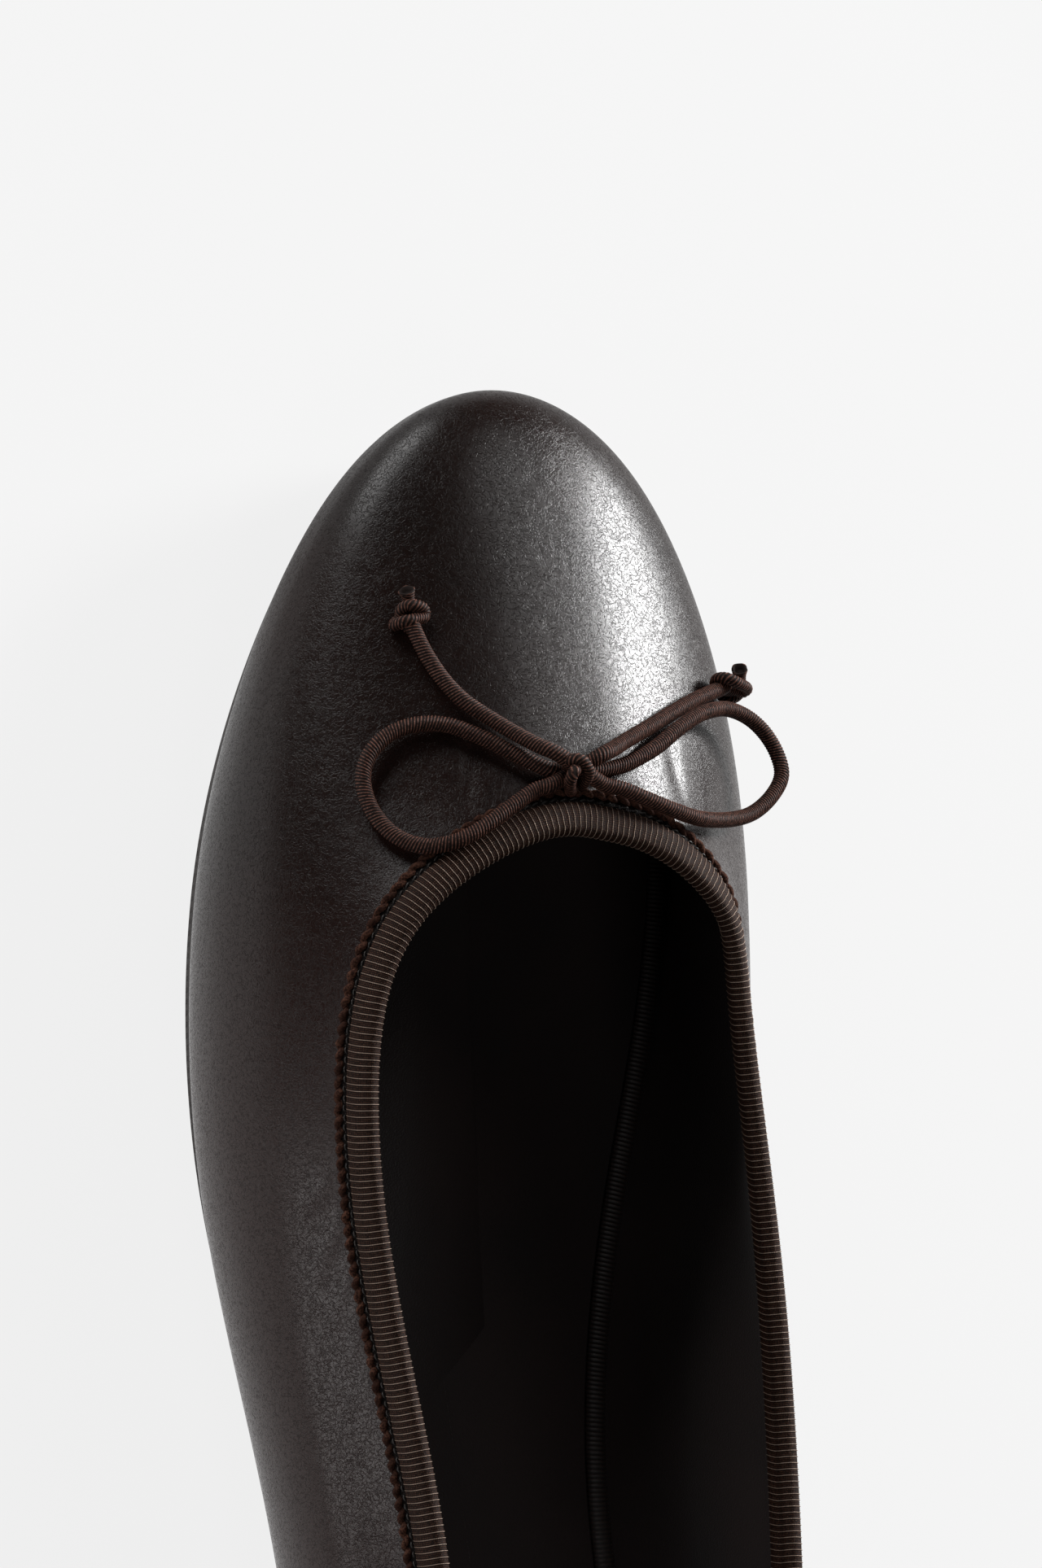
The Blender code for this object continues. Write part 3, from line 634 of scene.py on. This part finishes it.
suede = Finish("brushed_suede", (0.02, 0.01, 0.008), 0.92, Sheen_Weight=0.10,
               Sheen_Roughness=0.45)
nap = suede.noise(3800.0, 3.0)
brushed = suede.noise(55.0, 4.0)
suede.feed(suede.shader, {
    "Base Color": suede.blend(brushed.between(0.3, 0.72) * 0.7 + nap * 0.3,
                              (0.0056, 0.0024, 0.0021), (0.0130, 0.0054, 0.0046)),
    "Roughness": 0.86 + 0.12 * nap})
suede.relief(nap * 0.7 + brushed * 0.3, 0.00012)
ring_mesh("suede_lining", np.array(lining_rings) + heel_to_frame, suede,
          closed=True)


# Topline binding
# Ribbed tape with a fine knitted face, folded over the edge of the foot opening and puffed out
# by the elastic inside. Its ribs run across it; the outer leg ends in a thin dark selvedge.
rib_pitch = 0.00087
rib_depth = 0.00024
outer_leg = 0.0031
selvedge_end = 0.0047
inner_leg = 0.0038
face_off = 0.0007
crown_rise = 0.0013
loop_pitch = 0.00030
glue = 0.00006

dense = np.linspace(0.0, 360.0, 7201)
edge_line = skin(dense, np.full_like(dense, 3.0))
edge_run = np.append(0.0, np.cumsum(np.linalg.norm(np.diff(edge_line, axis=0), axis=1)))
rib_total = round(edge_run[-1] / rib_pitch)
rib_profile = np.array((1.00, 0.20, 0.62, 0.30, 0.62, 0.20))
rib_thread = np.array((1.00, 0.00, 0.42, 0.10, 0.42, 0.00))
tape_columns = rib_total * 6
tape_run = np.arange(tape_columns) * edge_run[-1] / tape_columns
tape_turns = np.interp(tape_run, edge_run, dense)
tape_height = np.tile(rib_profile, rib_total)
tape_thread = np.tile(rib_thread, rib_total)
swell = tape_height * rib_depth
# Steps down a rib, close enough together to measure along
down_steps = np.linspace(3.0, 2.5, 41)


def edge_slant(turns):
    """Edge direction, metres of edge in a degree, and how far the ribs lean along it."""
    top = np.full_like(turns, 3.0)
    edge = skin(turns + 0.5, top) - skin(turns - 0.5, top)
    pace = np.linalg.norm(edge, axis=1)
    edge = edge / pace[:, None]
    slant = (skin_rise(turns) * edge).sum(axis=1)
    return edge, pace, slant, np.sqrt(1.0 - slant ** 2)


def square_down(turns):
    """Lengths down the ribs, and the turn and length that a step square to the topline takes."""
    places = np.array([skin(turns, np.full_like(turns, step)) for step in down_steps])
    lengths = np.linalg.norm(np.diff(places, axis=0), axis=2)
    lengths = np.concatenate([np.zeros((1, len(turns))), np.cumsum(lengths, axis=0)])
    pace, slant, straight = edge_slant(turns)[1:]
    return lengths, slant / (straight * pace), 1.0 / straight


def leg_ring(turns, downs, distance, off):
    """Points this far from the topline down the leather, and this far off it."""
    lengths, turn_gain, length_gain = downs
    distance = np.broadcast_to(distance, turns.shape)
    run = distance * length_gain
    steps = np.array([np.interp(run[i], lengths[:, i], down_steps) for i in range(len(turns))])
    turns = turns + turn_gain * distance
    return skin(turns, steps) + skin_normal(turns, steps) * np.asarray(off).reshape(-1, 1)


def rim_ring(turns, height, off):
    """Points this far above the topline and off the leather."""
    top = np.full_like(turns, 3.0)
    edge, pace, slant, straight = edge_slant(turns)
    square = (skin_rise(turns) - edge * slant[:, None]) / straight[:, None]
    place = skin(turns, top) + skin_normal(turns, top) * np.asarray(off).reshape(-1, 1)
    return place + square * np.asarray(height).reshape(-1, 1)


tape_rings = []
tape_across = []
tape_edge = []
tape_downs = square_down(tape_turns)


def tape_ring(place, across, edge=0.0):
    """One more line of points along the tape, and how far across its face it lies."""
    tape_rings.append(place)
    tape_across.append(across)
    tape_edge.append(edge)


def tape_leg(distance, off, edge=0.0):
    tape_ring(leg_ring(tape_turns, tape_downs, distance, off), distance, edge)


# Up the outer leg from the selvedge, over the roll, down the inner leg and back under the face
for distance, off in ((selvedge_end, 0.00034), (selvedge_end - 0.0001, 0.00052),
                      (outer_leg + 0.0002, 0.00056)):
    tape_leg(distance, off + swell * 0.25, edge=1.0)
for distance, off in ((outer_leg, 0.00062), (outer_leg - 0.0002, 0.00088), (2.4e-3, 0.00102),
                      (1.6e-3, 0.00104), (0.8e-3, 0.00100)):
    tape_leg(distance, off - rib_depth * 0.5 + swell)
half_roll = wall / 2.0 + face_off
# Metres across the face for each radian round the roll
roll_girth = 0.0022
for angle in np.radians((0, 24, 48, 70, 90, 112, 138, 162, 180)):
    rise = crown_rise * math.sin(angle)
    off = -wall / 2.0 + half_roll * math.cos(angle)
    rib_out = swell - rib_depth * 0.5
    tape_ring(rim_ring(tape_turns, rise + rib_out * math.sin(angle),
                       off + rib_out * math.cos(angle)), -angle * roll_girth)
for distance in (1.2e-3, 2.4e-3, inner_leg - 0.0002):
    tape_leg(distance, -wall - face_off + rib_depth * 0.5 - swell)
for distance in (inner_leg, 0.0):
    tape_leg(distance, -wall - glue)
tape_ring(rim_ring(tape_turns, 0.0001, -wall / 2.0), 0.0)
for distance in (0.0, 0.0030, selvedge_end):
    tape_leg(distance, 0.00008)

tape = Finish("ribbed_tape_face", (0.05, 0.03, 0.02), 0.6, Specular_IOR_Level=0.12)
rib = tape.stored("thread")
across = tape.stored("across")
selvedge = tape.stored("edge")
loops = 0.5 + 0.5 * (across * (2.0 * math.pi / loop_pitch)).sine()
fluff = tape.noise(4200.0, 2.0)
faded = tape.noise(60.0, 3.0)
# The rib lines are partly lighter thread and partly a painted highlight: a light colour near
# white, twice as bright on the roll, where the light falls, as on the outer leg
on_roll = 1.0 - across.between(0.0002, 0.0022)
line = rib.between(0.56, 0.92) * (0.45 + 0.55 * loops) * (0.50 + 0.50 * on_roll)
beads = rib.between(0.12, 0.45) * loops * fluff.between(0.30, 0.65)
gap_colour = tape.blend(faded, (0.0060, 0.0026, 0.0018), (0.0110, 0.0050, 0.0034))
bead_colour = tape.blend(faded, (0.118, 0.047, 0.028), (0.210, 0.096, 0.058))
line_highlight_colour = tape.blend(faded, (0.600, 0.420, 0.320), (0.900, 0.740, 0.610))
face_colour = tape.blend(line, tape.blend(beads, gap_colour, bead_colour), line_highlight_colour)
glints = fluff.between(0.62, 0.72)
edge_colour = tape.blend(glints, (0.0050, 0.0032, 0.0028), (0.1100, 0.0850, 0.0750))
tape.feed(tape.shader, {
    "Base Color": tape.blend(selvedge, face_colour, edge_colour),
    "Roughness": 0.66 - 0.28 * line - 0.16 * beads})
tape.relief(line * 0.40 + beads * 0.45 + fluff * 0.15, 0.00014)
binding = ring_mesh(
    "topline_tape", np.array(tape_rings) + heel_to_frame, tape, closed=True,
    stored={"thread": tape_thread[None, :], "across": np.array(tape_across)[:, None],
            "edge": np.array(tape_edge)[:, None]})
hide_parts("topline_binding")


# Picot edge and stitches of the binding
# A soft two-ply yarn in a redder brown lies along the selvedge and shows as a row of small
# bumps. A glossy black thread holds the selvedge down between the yarn and the ribs.
yarn_pitch = 0.0036
yarn_down = 0.0047
yarn_off = 0.00050
ply_apart = 0.00028
ply_half = 0.00039
ply_bumps = 0.45
probe = 0.0002
yarn_columns = 2200
yarn_run = np.arange(yarn_columns) * edge_run[-1] / yarn_columns
yarn_turns = np.interp(yarn_run, edge_run, dense)
yarn_downs = square_down(yarn_turns)
twists = round(edge_run[-1] / yarn_pitch)
yarn_phase = 2.0 * math.pi * twists * yarn_run / edge_run[-1]
yarn = Finish("picot_yarn", (0.10, 0.045, 0.03), 0.85, Specular_IOR_Level=0.12)
hair = yarn.noise(3400.0, 3.0)
# The yarn is lighter and darker in random patches a few millimetres across
patchy_tone = yarn.noise(300.0, 2.0).between(0.35, 0.65)
yarn.feed(yarn.shader, {
    "Base Color": yarn.blend(hair.between(0.35, 0.65), (0.020, 0.0070, 0.0045),
                             yarn.blend(patchy_tone, (0.048, 0.020, 0.013), (0.115, 0.050, 0.032))),
    "Roughness": 0.80 + 0.15 * hair})
yarn.relief(hair, 0.00016)
yarn_middle = leg_ring(yarn_turns, yarn_downs, yarn_down, yarn_off)
beside = leg_ring(yarn_turns, yarn_downs, yarn_down + probe, yarn_off) - yarn_middle
beside /= np.linalg.norm(beside, axis=1)[:, None]
over = leg_ring(yarn_turns, yarn_downs, yarn_down, yarn_off + probe) - yarn_middle
over /= np.linalg.norm(over, axis=1)[:, None]
angle = np.arange(8) * math.pi / 4.0
spokes = beside[:, None, :] * np.cos(angle)[:, None] + over[:, None, :] * np.sin(angle)[:, None]
for ply in (0, 1):
    phase = yarn_phase + math.pi * ply
    round_middle = beside * np.cos(phase)[:, None] + over * np.sin(phase)[:, None]
    centre = yarn_middle + round_middle * ply_apart
    loose = 0.05 * np.sin(yarn_run * 1900.0 + ply) + 0.04 * np.sin(yarn_run * 3300.0)
    half = ply_half * (1.0 + ply_bumps * np.sin(phase) + 2.0 * loose)
    rings = centre[:, None, :] + spokes * half[:, None, None]
    ring_mesh("picot_yarn_%d" % (ply + 1), rings + heel_to_frame, yarn, closed=True)

stitch_pitch = 0.0013
stitch_count = round(edge_run[-1] / stitch_pitch)
gloss = Finish("black_thread", (0.012, 0.009, 0.008), 0.35)
ply_noise = gloss.noise(3000.0, 2.0)
gloss.feed(gloss.shader, {
    "Base Color": gloss.blend(ply_noise, (0.006, 0.005, 0.0045), (0.030, 0.024, 0.021)),
    "Roughness": 0.28 + 0.3 * ply_noise})
gloss.relief(ply_noise, 0.00005)
stitch_number = np.arange(stitch_count)[:, None]
stitch_run = (stitch_number + np.array((0.06, 0.30, 0.58, 0.86))) * edge_run[-1] / stitch_count
stitch_turns = np.interp(stitch_run, edge_run, dense).ravel()
stitch_down = np.array((0.00345, 0.00355, 0.00368, 0.00375)) - 0.0001 * (stitch_number % 2)
stitch_off = np.tile((0.00050, 0.00074, 0.00074, 0.00050), stitch_count)
stitch_middle = leg_ring(stitch_turns, square_down(stitch_turns), stitch_down.ravel(), stitch_off)
stitch_middle = stitch_middle.reshape(stitch_count, 4, 3)
stitch_way = stitch_middle[:, 3] - stitch_middle[:, 0]
stitch_way /= np.linalg.norm(stitch_way, axis=1)[:, None]
stitch_side = np.cross(stitch_way, (0.0, 0.0, 1.0))
stitch_side /= np.linalg.norm(stitch_side, axis=1)[:, None]
stitch_rise = np.cross(stitch_side, stitch_way)
angle = np.arange(6) * math.pi / 3.0
spokes = (stitch_side[:, None, :] * np.cos(angle)[:, None]
          + stitch_rise[:, None, :] * np.sin(angle)[:, None])
half = np.array((0.00007, 0.00014, 0.00014, 0.00007))[:, None, None]
stitch_points = stitch_middle[:, :, None, :] + spokes[:, None, :, :] * half + heel_to_frame
stitch_points = stitch_points.reshape(-1, 3)
# Each stitch has four rings of six points and a face over each end
stitch_faces = []
for start in range(0, len(stitch_points), 24):
    for k in range(start, start + 18, 6):
        for corner in range(6):
            following = (corner + 1) % 6
            stitch_faces.append((k + corner, k + following, k + 6 + following, k + 6 + corner))
    stitch_faces.append(tuple(range(start + 5, start - 1, -1)))
    stitch_faces.append(tuple(range(start + 18, start + 24)))
stitch_mesh = bpy.data.meshes.new("selvedge_stitches")
stitch_mesh.from_pydata([tuple(p) for p in stitch_points], [], stitch_faces)
stitch_mesh.shade_smooth()
stitch_mesh.materials.append(gloss.material)
stitches = bpy.data.objects.new("selvedge_stitches", stitch_mesh)
bpy.context.scene.collection.objects.link(stitches)
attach(stitches, "root")


# Insole
# A thin board under a sock of the same brushed suede, glued over the turned margin. A narrow
# ribbed tape is sewn round its edge, with a dark gap between the tape and the wall.
sock_turns = np.arange(360) * 1.0
inside_gap = 0.0003
insole_thick = 0.0018
insole_low = wall + inside_gap
insole_high = insole_low + insole_thick
sock_edge_drop = 0.0003
sock_dip = 0.0003
# The foot's middle line, from the back: how far forward, and how far to the inner side
middle_forward = (0.030, 0.120, 0.175, 0.222)
middle_across = (0.0, -0.0040, -0.0005, 0.0030)


def inside_wall(turns, height):
    """Plan that clears the wall's inner face, this high over the feather line."""
    plans = []
    levels = []
    for step in np.linspace(1.0, 2.2, 25):
        place = off_skin(turns, step, -(wall + inside_gap))
        plans.append(place[:, :2])
        levels.append(place[:, 2] - feather_height(place[:, 1]))
    plans = np.array(plans)
    levels = np.array(levels)
    found = []
    for i in range(len(turns)):
        found.append([np.interp(height, levels[:, i], plans[:, i, k]) for k in (0, 1)])
    return np.array(found)


def inner_ring(outline, share):
    """The outline drawn in towards the foot's middle line, for rings across the insole."""
    forward = np.clip(outline[:, 1], middle_forward[0], middle_forward[-1])
    middle = np.stack([np.interp(forward, middle_forward, middle_across), forward], axis=1)
    return middle + (outline - middle) * share


sock_edge = inside_wall(sock_turns, insole_high)
sock_foot = inside_wall(sock_turns, insole_low)
step_in = feather_line(sock_turns) - outward(sock_turns) * (margin_width + inside_gap)
sock_rings = [lift(step_in, feather_height(step_in[:, 1])),
              lift(step_in, feather_height(step_in[:, 1]) + insole_low),
              lift(sock_foot, feather_height(sock_foot[:, 1]) + insole_low),
              lift(sock_edge, feather_height(sock_edge[:, 1]) + insole_high - sock_edge_drop)]
for share in (0.99, 0.94, 0.86, 0.76, 0.64, 0.50, 0.36, 0.22, 0.10, 0.03, 0.0005):
    ring = inner_ring(sock_edge, share)
    dip = sock_dip * (1.0 - share) * np.cos(ring[:, 1] * 40.0)
    sock_rings.append(lift(ring, feather_height(ring[:, 1]) + insole_high - dip))
sock = ring_mesh("insole_sock", np.array(sock_rings) + heel_to_frame, suede)
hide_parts("insole")

seam_pitch = 0.00065
seam_width = 0.0030
seam_in = 0.0010
seam_foot = 0.0001
seam_rib_depth = 0.00016
edge_turns = np.linspace(0.0, 360.0, 1441)
seam_outline = inside_wall(edge_turns, insole_high + 0.0008)
seam_run = np.append(0.0, np.cumsum(np.linalg.norm(np.diff(seam_outline, axis=0), axis=1)))
seam_ribs = round(seam_run[-1] / seam_pitch)
seam_columns = seam_ribs * 4
seam_at = np.arange(seam_columns) * seam_run[-1] / seam_columns
seam_xy = np.stack([np.interp(seam_at, seam_run, seam_outline[:, k]) for k in (0, 1)], axis=1)
along = np.roll(seam_xy, -2, axis=0) - np.roll(seam_xy, 2, axis=0)
along /= np.linalg.norm(along, axis=1)[:, None]
inward = np.stack([along[:, 1], -along[:, 0]], axis=1)
seam_height = np.tile((1.0, 0.45, 0.0, 0.45), seam_ribs)
seam_rings = []
for share, rise in ((0.0, seam_foot), (0.0, 0.00055), (0.25, 0.00085), (0.5, 0.00095),
                    (0.75, 0.00085), (1.0, 0.00050), (1.0, seam_foot)):
    ring = seam_xy + inward * (seam_in + seam_width * share)
    height = feather_height(ring[:, 1]) + insole_high + rise
    if rise > seam_foot:
        height = height + seam_height * seam_rib_depth
    seam_rings.append(lift(ring, height))
seam_tape = Finish("insole_tape", (0.02, 0.012, 0.01), 0.7)
seam_rib = seam_tape.stored("thread")
seam_fluff = seam_tape.noise(3600.0, 2.0)
seam_tape.feed(seam_tape.shader, {
    "Base Color": seam_tape.blend(seam_rib * (0.6 + 0.6 * seam_fluff), (0.0045, 0.0026, 0.0022),
                                  (0.0260, 0.0140, 0.0110)),
    "Roughness": 0.7 - 0.2 * seam_rib})
seam_tape.relief(seam_rib * 0.5 + seam_fluff * 0.5, 0.00008)
ring_mesh("insole_edge_tape", np.array(seam_rings) + heel_to_frame, seam_tape,
          closed=True, stored={"thread": seam_height[None, :]})


# Outsole
# Three millimetres of dark brown rubber with a softened lower edge, glued under the margin.
# Fine cross ribs are moulded into the tread.
sole_turns = np.arange(480) * 0.75
sole_lip = 0.0005
sole_thick = 0.0033
tread_pitch = 0.0016
sole_feather = feather_line(sole_turns)
sole_out = outward(sole_turns)
tuck = rib_values(sole_turns)["tuck"] * tuck_depth
lip = rib_values(sole_turns)["rise"] * side_rise
lip = lip * (1.0 - np.sqrt(1.0 - np.clip(sole_lip / tuck, 0.0, 1.0) ** 2))
sole_rings = [lift(sole_feather - sole_out * 0.004, feather_height(sole_feather[:, 1]) - 0.0003)]
sole_rings.append(lift(sole_feather, feather_height(sole_feather[:, 1]) - 0.0003))
for out, up_share, below in ((1.0, 0.8, 0.0003), (1.06, 0.55, 0.0006), (1.06, 0.0, 0.0018),
                             (1.0, 0.0, 0.0026), (0.86, 0.0, 0.0031), (0.60, 0.0, 0.0033)):
    ring = sole_feather + sole_out * sole_lip * out
    sole_rings.append(lift(ring, feather_height(ring[:, 1]) + lip * up_share - below))
for inset in (0.0010, 0.0030, 0.0060):
    ring = sole_feather - sole_out * inset
    sole_rings.append(lift(ring, feather_height(ring[:, 1]) - sole_thick))
rubber = Finish("sole_rubber_brown", (0.02, 0.014, 0.012), 0.6)
tread = (rubber.along("Y") * (2.0 * math.pi / tread_pitch)).sine().between(-0.3, 0.5)
dust = rubber.noise(900.0, 4.0)
low = 1.0 - rubber.along("Z").between(0.0002, 0.0012)
rubber.feed(rubber.shader, {
    "Base Color": rubber.blend(dust.between(0.35, 0.75),
                               (0.0130, 0.0090, 0.0075), (0.0260, 0.0190, 0.0160)),
    "Roughness": 0.50 + 0.22 * dust + 0.08 * low})
rubber.relief(tread * low * 0.8 + dust * 0.2, 0.00025)
sole = ring_mesh("outsole_rubber", np.array(sole_rings) + heel_to_frame, rubber)
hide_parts("outsole")


# Heel
# A low moulded block of the same rubber under the back of the sole. Its shape in the frame is
# right as it stands, so it only takes the rubber's finish.
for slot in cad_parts["heel"].material_slots:
    slot.material = rubber.material


# Floor and light
# A pale floor that glows under the shoe, so that it is almost free of shadow, and turns grey
# further out. Five soft boxes: the key box draws the shine on the inner side of the vamp, and
# weaker ones light its top, the toe, the outer side and the back.
floor_half = 8.0
floor_mesh = bpy.data.meshes.new("floor")
floor_mesh.from_pydata([(-floor_half, -floor_half, 0.0), (floor_half, -floor_half, 0.0),
                        (floor_half, floor_half, 0.0), (-floor_half, floor_half, 0.0)],
                       [], [(0, 1, 2, 3)])
floor_finish = Finish("pale_floor", (0.06, 0.06, 0.06), 0.9, Emission_Strength=0.875)
across_floor = floor_finish.along("X") - 0.02
along_floor = floor_finish.along("Y") - 0.05
from_middle = ((across_floor * 1.15) ** 2.0 + (along_floor * 0.9) ** 2.0) ** 0.5
floor_finish.feed(floor_finish.shader, {
    "Emission Color": floor_finish.blend(
        from_middle.between(0.14, 0.42), (0.96, 0.96, 0.96), (0.42, 0.42, 0.42))})
floor_mesh.materials.append(floor_finish.material)
floor = bpy.data.objects.new("floor", floor_mesh)
bpy.context.scene.collection.objects.link(floor)

lit_middle = Vector((0.0, 0.06, 0.03))


def soft_box(name, azimuth, elevation, distance, width, height, watts):
    """A light that faces the middle of the picture, in degrees, metres and watts."""
    data = bpy.data.lights.new(name, "AREA")
    data.shape = "RECTANGLE"
    data.size = width
    data.size_y = height
    data.energy = watts
    light = bpy.data.objects.new(name, data)
    bpy.context.scene.collection.objects.link(light)
    a = math.radians(azimuth)
    e = math.radians(elevation)
    way = Vector((math.cos(a) * math.cos(e), math.sin(a) * math.cos(e), math.sin(e)))
    light.location = lit_middle + way * distance
    light.rotation_euler = way.to_track_quat("Z", "Y").to_euler()


soft_box("key_box", 25.0, 19.5, 1.3, 0.34, 0.44, 23.0)
soft_box("upper_box", 48.0, 44.0, 1.4, 0.90, 0.50, 3.2)
soft_box("toe_box", 114.0, 10.0, 1.5, 0.80, 0.56, 10.0)
soft_box("outer_box", -166.0, 14.0, 0.7, 0.20, 0.36, 0.64)
soft_box("back_box", -100.0, 62.0, 1.5, 0.50, 0.50, 2.0)

world = bpy.data.worlds.new("studio")
world.use_nodes = True
bpy.context.scene.world = world
backdrop = world.node_tree.nodes["Background"]
backdrop.inputs["Color"].default_value = (1.0, 1.0, 1.0, 1.0)
backdrop.inputs["Strength"].default_value = 0.02
